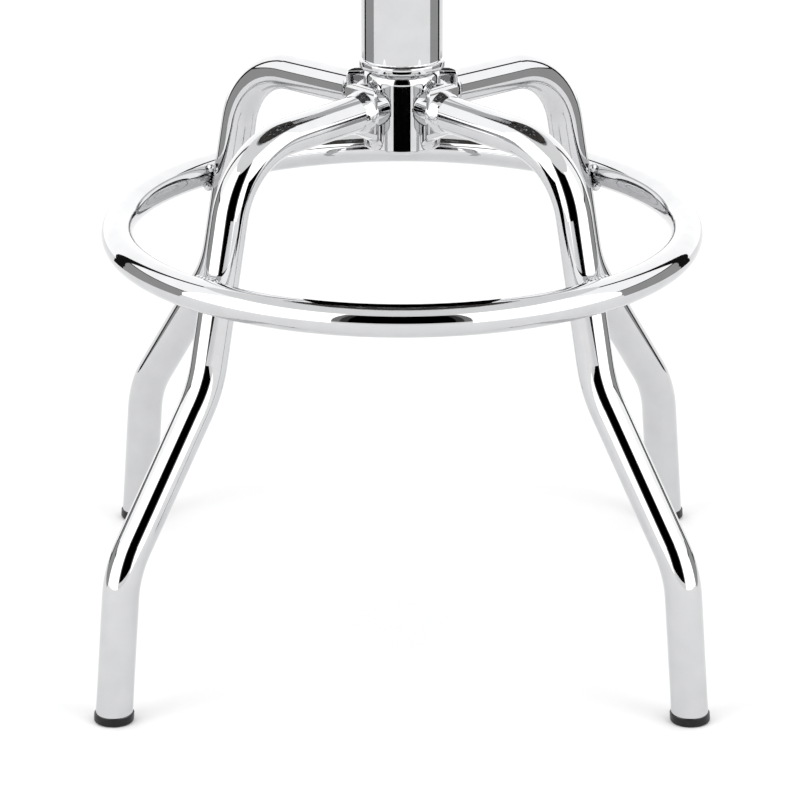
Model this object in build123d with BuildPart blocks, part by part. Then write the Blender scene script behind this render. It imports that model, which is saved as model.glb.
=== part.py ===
from build123d import *
import os
from math import atan2, cos, degrees, hypot, radians, sin, sqrt, tan

# Bar stool with a round swivel seat on a column, a cast hub, four bent tube legs and a
# footrest ring outside the legs.
# Millimetres. +Z is up, the floor is z = 0, the column stands on the Z axis and the front
# of the stool looks to -Y. Each leg lies in its own upright plane through the Z axis.

# Fits
socket_gap = 0.1
bearing_gap = 0.08
weld_gap = 0.02
lift_gap = 0.3
cut_overrun = 5.0

# Leg tube, and the corners of its route as reach from the Z axis and height
leg_diameter = 25.4
leg_wall = 1.6
leg_root_height = 383.2
leg_root_length = 20.0
shoulder_reach = 155.3
shoulder_drop = 5.5
shoulder_bend_radius = 57.5
knee_reach = 188.5
knee_height = 218.3
knee_bend_radius = 83.6
ankle_reach = 267.9
ankle_height = 105.8
ankle_bend_radius = 67.6
foot_reach = 277.7
leg_places = {"front_left": 225, "front_right": 315, "rear_left": 135, "rear_right": 45}

# Foot caps
cap_flange_height = 6.0
cap_lip = 0.9
cap_edge_radius = 1.6
cap_stem_length = 22.0
cap_stem_wall = 2.0
cap_fin_height = 1.5
cap_fin_depth = 1.2
cap_fin_count = 3

# Footrest ring
ring_height = 288.1
ring_tube_diameter = 22.5
ring_wall = 1.5
ring_weld_length = 20.0
ring_weld_radius = 3.6
ring_weld_ripples = 5
ring_weld_offset = 7.4

# Hub casting
hub_diameter = 53.2
hub_drop = 30.2
hub_rise = 29.8
hub_foot_radius = 2.5
hub_shoulder_radius = 6.0
boss_wall = 3.8
boss_length = 38.0
boss_rim_radius = 2.4
boss_root_radius = 3.2
gusset_thickness = 15.0
gusset_drop = 23.0
gusset_root_radius = 1.5
hub_weld_length = 8.6
hub_weld_height = 3.0
weld_crest_share = 0.56

# Hub bolt and washers, in a recess under the hub
bolt_diameter = 12.0
bolt_across_flats = 19.0
bolt_head_height = 7.5
bolt_length = 45.0
bolt_hole_gap = 0.6
chamfer_share = 0.1
thread_gap = 0.05
hub_recess_diameter = 32.0
hub_recess_depth = 14.0
hub_web = 12.0
washer_diameter = 26.0
washer_thickness = 2.5
lock_washer_diameter = 20.4
lock_washer_thickness = 3.0
lock_washer_slit = 1.5

# Column
column_diameter = 56.4
column_wall = 2.0
column_length = 228.0
flange_diameter = 60.0
flange_thickness = 4.6
flange_edge_radius = 1.0
spigot_diameter = 28.0
spigot_length = 33.0
plug_height = 15.0
plug_wall = 5.0
thread_depth = 29.0
column_weld_size = 1.4
plate_weld_size = 4.0

# Square plates between column and seat
plate_side = 140.0
plate_corner_radius = 14.0
column_plate_thickness = 5.0
swivel_plate_thickness = 3.0
plate_bolt_spacing = 114.0
bolt_rows = 2
plate_turn = 45.0
face_down = 180.0
hexagon_sides = 6

# Ball race and pivot
race_diameter = 88.0
race_depth = 1.25
race_groove_radius = 5.1
ball_diameter = 9.5
ball_count = 14
ball_gap = 0.03
cage_width = 15.0
cage_thickness = 3.0
cage_ball_gap = 0.25
pivot_diameter = 24.0
pivot_bore = 16.0
pivot_collar_diameter = 34.0
pivot_flange_thickness = 1.6
pivot_hole_gap = 4.0

# Bolts of the lower plate and screws of the upper plate
plate_bolt_diameter = 8.0
plate_bolt_head_diameter = 14.0
plate_bolt_head_height = 4.4
plate_bolt_tip = 2.0
plate_bolt_hole_gap = 0.25
plate_nut_across_flats = 13.0
plate_nut_height = 6.5
plate_washer_diameter = 17.0
plate_washer_thickness = 1.6
socket_across_flats = 5.0
socket_depth = 2.6
seat_screw_diameter = 6.0
seat_screw_head_diameter = 12.0
seat_screw_length = 13.5
seat_screw_hole_gap = 0.3
tee_nut_barrel_diameter = 8.0
tee_nut_barrel_length = 9.0
tee_nut_flange_diameter = 19.0
tee_nut_flange_thickness = 1.4

# Seat board, cushion and band
board_diameter = 340.0
board_thickness = 12.0
board_edge_radius = 1.5
cover_thickness = 1.5
cover_lip = 22.0
side_height = 41.0
side_bulge = 5.0
edge_roll_width = 17.0
edge_roll_height = 20.0
crown_height = 12.0
welt_diameter = 6.0
welt_sink = 0.8
band_height = 24.0
band_thickness = 1.0
band_rib_count = 3
band_rib_height = 1.3
band_flange = 11.0
band_screw_count = 8
band_screw_diameter = 3.0
band_screw_head_diameter = 7.0
band_screw_head_height = 2.0
band_screw_length = 12.0

# Sizes that follow from the ones above
leg_radius = leg_diameter / 2
ring_tube_radius = ring_tube_diameter / 2
hub_radius = hub_diameter / 2
boss_radius = leg_radius + boss_wall
spigot_radius = spigot_diameter / 2
column_radius = column_diameter / 2
pivot_flange_radius = pivot_collar_diameter / 2
cap_radius = leg_radius + cap_lip
shoulder_height = leg_root_height - shoulder_drop
root_tilt = degrees(atan2(shoulder_drop, shoulder_reach))
upright_lean = atan2(knee_reach - shoulder_reach, shoulder_height - knee_height)
foot_lean = atan2(foot_reach - ankle_reach, ankle_height)
ring_leg_reach = knee_reach - (ring_height - knee_height) * tan(upright_lean)
ring_radius = ring_leg_reach + (leg_radius + ring_tube_radius + weld_gap) / cos(upright_lean)

hub_bottom = leg_root_height - hub_drop
hub_top = leg_root_height + hub_rise
recess_ceiling = hub_bottom + hub_recess_depth
spigot_floor = recess_ceiling + hub_web
flange_top = hub_top + flange_thickness
column_top = flange_top + column_length

lower_plate_bottom = column_top + column_plate_thickness
lower_plate_top = lower_plate_bottom + swivel_plate_thickness
ball_height = lower_plate_top - race_depth + ball_gap + ball_diameter / 2
upper_plate_bottom = ball_height + ball_diameter / 2 + ball_gap - race_depth
board_bottom = upper_plate_bottom + swivel_plate_thickness
board_top = board_bottom + board_thickness
board_radius = board_diameter / 2
cover_radius = board_radius + cover_thickness
cover_bottom = board_bottom - cover_thickness
band_bottom = cover_bottom - band_thickness
band_top = band_bottom + band_height
seam_height = band_top + side_height
crown_top = seam_height + edge_roll_height + crown_height
bolt_chamfer = bolt_diameter * chamfer_share
roll_turn = radians(plate_turn)


def leg_plane(azimuth):
    """The upright plane of a leg: local x is reach from the Z axis, local y is height."""
    turn = radians(azimuth)
    return Plane(origin=(0, 0, 0), x_dir=(cos(turn), sin(turn), 0), z_dir=(sin(turn), -cos(turn), 0))


def root_plane(azimuth):
    """The leg's plane with its local x along the leg where it leaves the hub."""
    turn = radians(azimuth)
    drop = radians(root_tilt)
    along = (cos(turn) * cos(drop), sin(turn) * cos(drop), -sin(drop))
    return Plane(origin=(0, 0, leg_root_height), x_dir=along, z_dir=(sin(turn), -cos(turn), 0))


def root_axis(azimuth):
    """The centre line of a leg where it leaves the hub."""
    plane = root_plane(azimuth)
    return Axis(origin=plane.origin, direction=plane.x_dir)


def foot_point(height):
    """Reach and height of the leg's centre line near the floor."""
    return (foot_reach - height * tan(foot_lean), height)


def foot_plane(azimuth, height):
    """The plane square to the leg's lowest stretch, its normal pointing up the leg."""
    turn = radians(azimuth)
    reach, level = foot_point(height)
    along = (-cos(turn) * sin(foot_lean), -sin(turn) * sin(foot_lean), cos(foot_lean))
    return Plane(origin=(reach * cos(turn), reach * sin(turn), level), z_dir=along)


def save(builder, name):
    """Labels a finished piece and writes it as one STEP file."""
    builder.part.label = name
    export_step(builder.part, f"parts/{name}.step")


# Legs: a tube with three bends, its lower end cut level on the foot cap's flange
def make_leg(name, azimuth):
    drop = radians(root_tilt)
    start = (leg_root_length * cos(drop), leg_root_height - leg_root_length * sin(drop))
    with BuildPart() as leg:
        with BuildLine(leg_plane(azimuth)) as route:
            FilletPolyline(
                start,
                (shoulder_reach, shoulder_height),
                (knee_reach, knee_height),
                (ankle_reach, ankle_height),
                foot_point(-cut_overrun),
                radius=[shoulder_bend_radius, knee_bend_radius, ankle_bend_radius],
            )
        with BuildSketch(Plane(origin=route.line @ 0, z_dir=route.line % 0)):
            Circle(leg_radius)
            Circle(leg_radius - leg_wall, mode=Mode.SUBTRACT)
        sweep()
        split(bisect_by=Plane.XY.offset(cap_flange_height), keep=Keep.TOP)
    save(leg, f"leg_{name}")


# Foot caps: a flange as wide as the tube and a lip, and a finned stem inside the tube
def make_foot_cap(name, azimuth):
    stem_radius = leg_radius - leg_wall - socket_gap
    core_radius = stem_radius - cap_fin_depth
    fin_pitch = cap_stem_length / (cap_fin_count + 1)
    with BuildPart() as cap:
        with BuildSketch(foot_plane(azimuth, cap_flange_height / 2)):
            Circle(cap_radius)
        extrude(amount=cap_flange_height, both=True)
        split(bisect_by=Plane.XY, keep=Keep.TOP)
        split(bisect_by=Plane.XY.offset(cap_flange_height), keep=Keep.BOTTOM)
        fillet(cap.edges().group_by(Axis.Z)[0], radius=cap_edge_radius)
        with BuildSketch(foot_plane(azimuth, cap_flange_height / 2)):
            Circle(core_radius)
        extrude(amount=cap_stem_length)
        for fin in range(cap_fin_count):
            with BuildSketch(foot_plane(azimuth, cap_flange_height + fin_pitch * (fin + 1))):
                Circle(stem_radius)
            extrude(amount=cap_fin_height)
        with BuildSketch(foot_plane(azimuth, cap_flange_height)):
            Circle(core_radius - cap_stem_wall)
        extrude(amount=cap_stem_length + cut_overrun, mode=Mode.SUBTRACT)
    save(cap, f"foot_cap_{name}")


# Footrest ring: one tube rolled to a full circle
def make_footrest_ring():
    with BuildPart() as ring:
        with BuildSketch(Plane.XZ):
            with Locations((ring_radius, ring_height)):
                Circle(ring_tube_radius)
                Circle(ring_tube_radius - ring_wall, mode=Mode.SUBTRACT)
        revolve(axis=Axis.Z)
    save(ring, "footrest_ring")


# Ring welds: a bead above and a bead below each place where ring and leg touch
def ring_weld_plane(azimuth, side):
    """Centre of a bead, local z across the leg and local x along the upright tube."""
    turn = radians(azimuth)
    along = (-sin(upright_lean) * side, cos(upright_lean) * side)
    contact_reach = ring_leg_reach + leg_radius / cos(upright_lean)
    contact_drop = ring_tube_radius * sin(upright_lean)
    reach = contact_reach + contact_drop * tan(upright_lean) + along[0] * ring_weld_offset
    height = ring_height - contact_drop + along[1] * ring_weld_offset
    outward = ring_weld_radius / 2
    reach += outward * cos(upright_lean)
    height += outward * sin(upright_lean)
    origin = (reach * cos(turn), reach * sin(turn), height)
    return Plane(
        origin=origin,
        x_dir=(along[0] * cos(turn), along[0] * sin(turn), along[1]),
        z_dir=(-sin(turn), cos(turn), 0),
    )


def make_ring_welds():
    half_length = ring_weld_length / 2
    pitch = (ring_weld_length - ring_weld_radius * 2) / (ring_weld_ripples - 1)
    ring_sag = ring_radius - sqrt(ring_radius**2 - half_length**2)
    upright_length = hypot(knee_reach - shoulder_reach, shoulder_height - knee_height)
    with BuildPart() as welds:
        for azimuth in leg_places.values():
            for side in (1, -1):
                bead = ring_weld_plane(azimuth, side)
                for ripple in range(ring_weld_ripples):
                    shift = ripple * pitch - half_length + ring_weld_radius
                    with Locations(bead.origin + bead.z_dir * shift):
                        Sphere(ring_weld_radius)
        for azimuth in leg_places.values():
            upright = leg_plane(azimuth)
            knee = upright.from_local_coords(Vector(knee_reach, knee_height))
            shoulder = upright.from_local_coords(Vector(shoulder_reach, shoulder_height))
            with BuildSketch(Plane(origin=knee, z_dir=shoulder - knee)):
                Circle(leg_radius + weld_gap)
            extrude(amount=upright_length, mode=Mode.SUBTRACT)
            with BuildSketch(upright):
                with Locations((ring_radius, ring_height)):
                    Circle(ring_tube_radius + weld_gap + ring_sag)
            extrude(amount=ring_weld_length, both=True, mode=Mode.SUBTRACT)
    save(welds, "ring_welds")


# Hub: a barrel with four bosses, a round gusset under each boss, sockets, bore and recess
def gusset_end(azimuth):
    """A plane inside a boss, its normal running down the gusset towards the barrel."""
    turn = radians(azimuth)
    reach = boss_length - boss_rim_radius
    height = leg_root_height - reach * tan(radians(root_tilt)) - boss_radius + boss_rim_radius
    slope = atan2(height - leg_root_height + gusset_drop, reach - hub_radius)
    reach -= gusset_thickness / 2 * sin(slope)
    height += gusset_thickness / 2 * cos(slope)
    down = (-cos(slope) * cos(turn), -cos(slope) * sin(turn), -sin(slope))
    return Plane(origin=(reach * cos(turn), reach * sin(turn), height), z_dir=down)


def make_hub():
    with BuildPart() as hub:
        with BuildSketch(Plane.XZ):
            with BuildLine():
                FilletPolyline(
                    (0, hub_bottom),
                    (hub_radius, hub_bottom),
                    (hub_radius, hub_top),
                    (0, hub_top),
                    radius=[hub_foot_radius, hub_shoulder_radius],
                )
                Line((0, hub_top), (0, hub_bottom))
            make_face()
        revolve(axis=Axis.Z)
        for azimuth in leg_places.values():
            with BuildSketch(root_plane(azimuth)):
                with BuildLine():
                    FilletPolyline(
                        (0, boss_radius),
                        (boss_length, boss_radius),
                        (boss_length, 0),
                        radius=boss_rim_radius,
                    )
                    Polyline((boss_length, 0), (0, 0), (0, boss_radius))
                make_face()
            revolve(axis=root_axis(azimuth))
        fillet(hub.edges().filter_by(GeomType.BSPLINE), radius=boss_root_radius)
        for azimuth in leg_places.values():
            with BuildSketch(gusset_end(azimuth)):
                Circle(gusset_thickness / 2)
            extrude(amount=hub_radius - gusset_thickness / 2)
        gusset_roots = hub.edges().filter_by(GeomType.BSPLINE)
        fillet(gusset_roots.filter_by(below_gusset_tip), radius=gusset_root_radius)
        for azimuth in leg_places.values():
            with BuildSketch(Plane(origin=socket_floor(azimuth), z_dir=root_axis(azimuth).direction)):
                Circle(leg_radius + socket_gap)
            extrude(amount=boss_length, mode=Mode.SUBTRACT)
        with BuildSketch(Plane.XY.offset(hub_top)):
            Circle(spigot_radius + socket_gap)
        extrude(amount=spigot_floor - hub_top, mode=Mode.SUBTRACT)
        with BuildSketch(Plane.XY.offset(hub_bottom)):
            Circle(hub_recess_diameter / 2)
        extrude(amount=hub_recess_depth, mode=Mode.SUBTRACT)
        with BuildSketch(Plane.XY.offset(recess_ceiling)):
            Circle(bolt_diameter / 2 + bolt_hole_gap)
        extrude(amount=hub_web, mode=Mode.SUBTRACT)
    save(hub, "hub")


def below_gusset_tip(edge):
    """True for the edges where a gusset meets its boss or the barrel."""
    return edge.center().Z < leg_root_height - boss_radius + gusset_thickness / 2


def socket_floor(azimuth):
    """The middle of the flat floor of a socket, which the leg's end seats on."""
    return root_axis(azimuth).position + root_axis(azimuth).direction * leg_root_length


# Hub welds: a bead round each leg against the face of its boss
def make_hub_welds():
    face = boss_length + weld_gap
    bore = leg_radius + weld_gap
    toe = face + hub_weld_length
    with BuildPart() as welds:
        for azimuth in leg_places.values():
            with BuildSketch(root_plane(azimuth)):
                with BuildLine():
                    crest = (face + hub_weld_length * weld_crest_share, bore + hub_weld_height * weld_crest_share)
                    Polyline((toe, bore), (face, bore), (face, bore + hub_weld_height))
                    ThreePointArc((face, bore + hub_weld_height), crest, (toe, bore))
                make_face()
            revolve(axis=root_axis(azimuth))
    save(welds, "hub_welds")


# Hub bolt: hexagon head in the recess, shank up into the column's foot
def make_hub_bolt():
    head_top = recess_ceiling - washer_thickness - lock_washer_thickness
    with BuildPart() as bolt:
        with BuildSketch(Plane.XY.offset(head_top)):
            RegularPolygon(bolt_across_flats / 2, hexagon_sides, major_radius=False)
        extrude(amount=-bolt_head_height)
        with BuildSketch(Plane.XY.offset(head_top)):
            Circle(bolt_diameter / 2)
        extrude(amount=bolt_length)
        chamfer(bolt.faces().sort_by(Axis.Z)[-1].edges(), length=bolt_chamfer)
    save(bolt, "hub_bolt")


def make_hub_washers():
    hole = bolt_diameter / 2 + bearing_gap
    with BuildPart() as washer:
        with BuildSketch(Plane.XY.offset(recess_ceiling)):
            Circle(washer_diameter / 2)
            Circle(hole, mode=Mode.SUBTRACT)
        extrude(amount=-washer_thickness)
    save(washer, "hub_washer")
    with BuildPart() as lock_washer:
        with BuildSketch(Plane.XY.offset(recess_ceiling - washer_thickness)):
            Circle(lock_washer_diameter / 2)
            Circle(hole, mode=Mode.SUBTRACT)
            with Locations((lock_washer_diameter / 2, 0)):
                Rectangle(lock_washer_diameter, lock_washer_slit, mode=Mode.SUBTRACT)
        extrude(amount=-lock_washer_thickness)
    save(lock_washer, "hub_lock_washer")


# Column foot: flange on the hub, spigot in its bore, cup-shaped plug in the tube
def make_column_foot():
    tube_bore = column_radius - column_wall - socket_gap
    plug_top = flange_top + plug_height
    with BuildPart() as foot:
        with BuildSketch(Plane.XZ):
            Polygon(
                (0, hub_top - spigot_length),
                (spigot_radius, hub_top - spigot_length),
                (spigot_radius, hub_top),
                (0, hub_top),
                align=None,
            )
            with BuildLine():
                FilletPolyline(
                    (0, hub_top),
                    (flange_diameter / 2, hub_top),
                    (flange_diameter / 2, flange_top),
                    (0, flange_top),
                    radius=flange_edge_radius,
                )
                Line((0, flange_top), (0, hub_top))
            make_face()
            Polygon(
                (0, flange_top), (tube_bore, flange_top), (tube_bore, plug_top), (0, plug_top), align=None
            )
        revolve(axis=Axis.Z)
        with BuildSketch(Plane.XY.offset(flange_top)):
            Circle(tube_bore - plug_wall)
        extrude(amount=plug_height, mode=Mode.SUBTRACT)
        with BuildSketch(Plane.XY.offset(hub_top - spigot_length)):
            Circle(bolt_diameter / 2 + thread_gap)
        extrude(amount=thread_depth, mode=Mode.SUBTRACT)
    save(foot, "column_foot")


def make_column_tube():
    with BuildPart() as tube:
        with BuildSketch(Plane.XY.offset(flange_top)):
            Circle(column_radius)
            Circle(column_radius - column_wall, mode=Mode.SUBTRACT)
        extrude(amount=column_length)
    save(tube, "column_tube")


# Column welds: a small bead on the flange and a larger one under the plate
def make_column_welds():
    bore = column_radius + weld_gap
    seats = ((flange_top + weld_gap, column_weld_size), (column_top - weld_gap, -plate_weld_size))
    with BuildPart() as welds:
        for level, size in seats:
            with BuildSketch(Plane.XZ):
                Polygon((bore, level), (bore + abs(size), level), (bore, level + size), align=None)
            revolve(axis=Axis.Z)
    save(welds, "column_welds")


# Column plate and the two swivel plates: rounded squares round the pivot
def bolt_places():
    """The four bolt holes of a plate, on a square round the column."""
    return GridLocations(plate_bolt_spacing, plate_bolt_spacing, bolt_rows, bolt_rows)


def make_column_plate():
    with BuildPart() as plate:
        with BuildSketch(Plane.XY.offset(column_top)):
            RectangleRounded(plate_side, plate_side, plate_corner_radius)
            Circle(pivot_flange_radius + pivot_hole_gap, mode=Mode.SUBTRACT)
            with bolt_places():
                Circle(plate_bolt_diameter / 2 + plate_bolt_hole_gap, mode=Mode.SUBTRACT)
        extrude(amount=column_plate_thickness)
    save(plate, "column_plate")


def make_swivel_lower_plate():
    groove_height = lower_plate_top - race_depth + race_groove_radius
    with BuildPart() as plate:
        with BuildSketch(Plane.XY.offset(lower_plate_bottom)):
            RectangleRounded(plate_side, plate_side, plate_corner_radius)
            Circle(pivot_diameter / 2 + thread_gap, mode=Mode.SUBTRACT)
            with bolt_places():
                Circle(plate_bolt_diameter / 2 + plate_bolt_hole_gap, mode=Mode.SUBTRACT)
        extrude(amount=swivel_plate_thickness)
        with BuildSketch(Plane.XZ):
            with Locations((race_diameter / 2, groove_height)):
                Circle(race_groove_radius)
        revolve(axis=Axis.Z, mode=Mode.SUBTRACT)
    save(plate, "swivel_lower_plate")


def make_swivel_upper_plate():
    groove_height = upper_plate_bottom + race_depth - race_groove_radius
    sink_depth = (seat_screw_head_diameter - seat_screw_diameter) / 2
    hole_radius = seat_screw_diameter / 2 + seat_screw_hole_gap
    with BuildPart() as plate:
        with BuildSketch(Plane.XY.offset(upper_plate_bottom).rotated((0, 0, plate_turn))):
            RectangleRounded(plate_side, plate_side, plate_corner_radius)
            Circle(pivot_diameter / 2 + bearing_gap, mode=Mode.SUBTRACT)
        extrude(amount=swivel_plate_thickness)
        with BuildSketch(Plane.XZ):
            with Locations((race_diameter / 2, groove_height)):
                Circle(race_groove_radius)
        revolve(axis=Axis.Z, mode=Mode.SUBTRACT)
        with Locations(Plane.XY.offset(upper_plate_bottom).rotated((face_down, 0, plate_turn))):
            with bolt_places():
                CounterSinkHole(
                    radius=hole_radius,
                    counter_sink_radius=hole_radius + sink_depth,
                    depth=swivel_plate_thickness,
                )
    save(plate, "swivel_upper_plate")


# Balls and cage: the cage is a flat ring with a hole for each ball
def make_swivel_balls():
    with BuildPart() as balls:
        with Locations(Plane.XY.offset(ball_height)):
            with PolarLocations(race_diameter / 2, ball_count):
                Sphere(ball_diameter / 2)
    save(balls, "swivel_balls")


def make_swivel_ball_cage():
    with BuildPart() as cage:
        with BuildSketch(Plane.XY.offset(ball_height - cage_thickness / 2)):
            Circle((race_diameter + cage_width) / 2)
            Circle((race_diameter - cage_width) / 2, mode=Mode.SUBTRACT)
            with PolarLocations(race_diameter / 2, ball_count):
                Circle(ball_diameter / 2 + cage_ball_gap, mode=Mode.SUBTRACT)
        extrude(amount=cage_thickness)
    save(cage, "swivel_ball_cage")


# Pivot: a turned tubular rivet, with a collar between the plates and a flange at each end
def make_swivel_pivot():
    shank = pivot_diameter / 2
    top = board_bottom + lift_gap
    with BuildPart() as pivot:
        with BuildSketch(Plane.XZ):
            Polygon(
                (pivot_bore / 2, lower_plate_bottom - pivot_flange_thickness),
                (pivot_flange_radius, lower_plate_bottom - pivot_flange_thickness),
                (pivot_flange_radius, lower_plate_bottom),
                (shank, lower_plate_bottom),
                (shank, lower_plate_top),
                (pivot_flange_radius, lower_plate_top),
                (pivot_flange_radius, upper_plate_bottom - lift_gap),
                (shank, upper_plate_bottom - lift_gap),
                (shank, top),
                (pivot_flange_radius, top),
                (pivot_flange_radius, top + pivot_flange_thickness),
                (pivot_bore / 2, top + pivot_flange_thickness),
                align=None,
            )
        revolve(axis=Axis.Z)
    save(pivot, "swivel_pivot")


# Bolts through the lower plate and the column's plate, with washers and nuts below
def make_swivel_bolts():
    grip = column_plate_thickness + swivel_plate_thickness + plate_washer_thickness + plate_nut_height
    with BuildPart() as bolts:
        with BuildSketch(Plane.XY.offset(lower_plate_top)):
            with bolt_places():
                Circle(plate_bolt_head_diameter / 2)
        extrude(amount=plate_bolt_head_height)
        fillet(bolts.faces().filter_by(Axis.Z).group_by(Axis.Z)[-1].edges(), plate_bolt_head_height / 2)
        with BuildSketch(Plane.XY.offset(lower_plate_top + plate_bolt_head_height)):
            with bolt_places():
                RegularPolygon(socket_across_flats / 2, hexagon_sides, major_radius=False)
        extrude(amount=-socket_depth, mode=Mode.SUBTRACT)
        with BuildSketch(Plane.XY.offset(lower_plate_top)):
            with bolt_places():
                Circle(plate_bolt_diameter / 2)
        extrude(amount=-grip - plate_bolt_tip)
    save(bolts, "swivel_bolts")


def make_swivel_washers():
    with BuildPart() as washers:
        with BuildSketch(Plane.XY.offset(column_top)):
            with bolt_places():
                Circle(plate_washer_diameter / 2)
                Circle(plate_bolt_diameter / 2 + bearing_gap, mode=Mode.SUBTRACT)
        extrude(amount=-plate_washer_thickness)
    save(washers, "swivel_washers")


def make_swivel_nuts():
    with BuildPart() as nuts:
        with BuildSketch(Plane.XY.offset(column_top - plate_washer_thickness)):
            with bolt_places():
                RegularPolygon(plate_nut_across_flats / 2, hexagon_sides, major_radius=False)
                Circle(plate_bolt_diameter / 2 + thread_gap, mode=Mode.SUBTRACT)
        extrude(amount=-plate_nut_height)
    save(nuts, "swivel_nuts")


# Seat screws, flush in the upper plate, and their tee nuts, flush in the board's top
def seat_screw_places(height):
    """The upper plate's four screw holes, on the X and Y axes at rest."""
    return Plane.XY.offset(height).rotated((0, 0, plate_turn))


def make_seat_screws():
    head_height = (seat_screw_head_diameter - seat_screw_diameter) / 2
    with BuildPart() as screws:
        with BuildSketch(seat_screw_places(upper_plate_bottom)):
            with bolt_places():
                Circle(seat_screw_diameter / 2)
        extrude(amount=seat_screw_length)
        for corner in bolt_places().local_locations:
            spot = seat_screw_places(upper_plate_bottom).from_local_coords(corner.position)
            with BuildSketch(Plane(origin=spot, z_dir=(0, 0, 1))):
                Circle(seat_screw_head_diameter / 2)
            with BuildSketch(Plane(origin=spot + Vector(0, 0, head_height), z_dir=(0, 0, 1))):
                Circle(seat_screw_diameter / 2)
            loft()
        with BuildSketch(seat_screw_places(upper_plate_bottom)):
            with bolt_places():
                RegularPolygon(socket_across_flats / 2, hexagon_sides, major_radius=False)
        extrude(amount=head_height / 2, mode=Mode.SUBTRACT)
    save(screws, "seat_screws")


def make_seat_tee_nuts():
    with BuildPart() as nuts:
        with BuildSketch(seat_screw_places(board_top)):
            with bolt_places():
                Circle(tee_nut_flange_diameter / 2)
        extrude(amount=-tee_nut_flange_thickness)
        with BuildSketch(seat_screw_places(board_top)):
            with bolt_places():
                Circle(tee_nut_barrel_diameter / 2)
        extrude(amount=-tee_nut_barrel_length)
        with BuildSketch(seat_screw_places(board_top)):
            with bolt_places():
                Circle(seat_screw_diameter / 2 + thread_gap)
        extrude(amount=-tee_nut_barrel_length, mode=Mode.SUBTRACT)
    save(nuts, "seat_tee_nuts")


# Seat board: round plywood with a recess over the pivot, and holes for the fasteners
def make_seat_board():
    with BuildPart() as board:
        with BuildSketch(Plane.XY.offset(board_bottom)):
            Circle(board_radius)
        extrude(amount=board_thickness)
        fillet(board.edges(), radius=board_edge_radius)
        with BuildSketch(Plane.XY.offset(board_bottom)):
            Circle(pivot_flange_radius + pivot_hole_gap)
        extrude(amount=pivot_flange_thickness + pivot_hole_gap, mode=Mode.SUBTRACT)
        with BuildSketch(seat_screw_places(board_bottom)):
            with bolt_places():
                Circle(tee_nut_barrel_diameter / 2 + socket_gap)
        extrude(amount=board_thickness, mode=Mode.SUBTRACT)
        with BuildSketch(seat_screw_places(board_top)):
            with bolt_places():
                Circle(tee_nut_flange_diameter / 2 + socket_gap)
        extrude(amount=-tee_nut_flange_thickness, mode=Mode.SUBTRACT)
        with BuildSketch(Plane.XY.offset(board_bottom)):
            with band_screw_places():
                Circle(band_screw_diameter / 2 + thread_gap)
        extrude(amount=band_screw_length, mode=Mode.SUBTRACT)
    save(board, "seat_board")


# Cushion: the cover's outer line, drawn in at the seam and crowned above it
def cushion_face(inset):
    """Half section of the cushion above the board, drawn the inset inside the cover."""
    seam_radius = cover_radius - inset
    bulge_height = (band_top + seam_height) / 2
    roll_radius = seam_radius - edge_roll_width
    roll_height = seam_height + edge_roll_height - inset
    roll_middle = seam_radius - edge_roll_width * (1 - cos(roll_turn))
    roll_middle_height = seam_height + (edge_roll_height - inset) * sin(roll_turn)
    crown = crown_top - inset
    seam = (seam_radius, seam_height)
    with BuildSketch(Plane.XZ) as face:
        with BuildLine():
            Polyline((0, crown), (0, board_top), (seam_radius, board_top), (seam_radius, band_top))
            ThreePointArc((seam_radius, band_top), (seam_radius + side_bulge, bulge_height), seam)
            ThreePointArc(seam, (roll_middle, roll_middle_height), (roll_radius, roll_height))
            TangentArc((0, crown), (roll_radius, roll_height), tangent=(1, 0))
        make_face()
    return face.sketch


def make_seat_foam():
    with BuildPart() as foam:
        revolve(cushion_face(cover_thickness), axis=Axis.Z)
    save(foam, "seat_foam")


def welt_circle():
    """Section of the piping, sunk a little into the cover at the seam."""
    with Locations((cover_radius + welt_diameter / 2 - welt_sink, seam_height)):
        Circle(welt_diameter / 2)


def make_seat_cover():
    inner_lip = board_radius - cover_lip
    with BuildPart() as cover:
        revolve(cushion_face(0), axis=Axis.Z)
        with BuildSketch(Plane.XY.offset(cover_bottom)):
            Circle(cover_radius)
        extrude(amount=board_top - cover_bottom)
        fillet(cover.edges().group_by(Axis.Z)[0], radius=board_edge_radius + cover_thickness)
        revolve(cushion_face(cover_thickness), axis=Axis.Z, mode=Mode.SUBTRACT)
        with BuildSketch(Plane.XZ):
            welt_circle()
        revolve(axis=Axis.Z, mode=Mode.SUBTRACT)
        with BuildSketch(Plane.XZ):
            with BuildLine():
                FilletPolyline(
                    (0, board_bottom),
                    (board_radius, board_bottom),
                    (board_radius, board_top),
                    (0, board_top),
                    radius=board_edge_radius,
                )
                Line((0, board_top), (0, board_bottom))
            make_face()
        revolve(axis=Axis.Z, mode=Mode.SUBTRACT)
        with BuildSketch(Plane.XY.offset(cover_bottom)):
            Circle(inner_lip)
        extrude(amount=cover_thickness, mode=Mode.SUBTRACT)
        with BuildSketch(Plane.XY.offset(cover_bottom)):
            with band_screw_places():
                Circle(band_screw_diameter / 2 + thread_gap)
        extrude(amount=cover_thickness, mode=Mode.SUBTRACT)
    save(cover, "seat_cover")


def make_seat_welt():
    with BuildPart() as welt:
        with BuildSketch(Plane.XZ):
            welt_circle()
        revolve(axis=Axis.Z)
    save(welt, "seat_welt")


# Band: a rolled strip with round ribs, and a flange under the cover for its screws
def band_screw_places():
    """The band's screws, evenly spaced in the middle of its flange."""
    return PolarLocations(board_radius - band_flange / 2, band_screw_count, start_angle=180 / band_screw_count)


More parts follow.
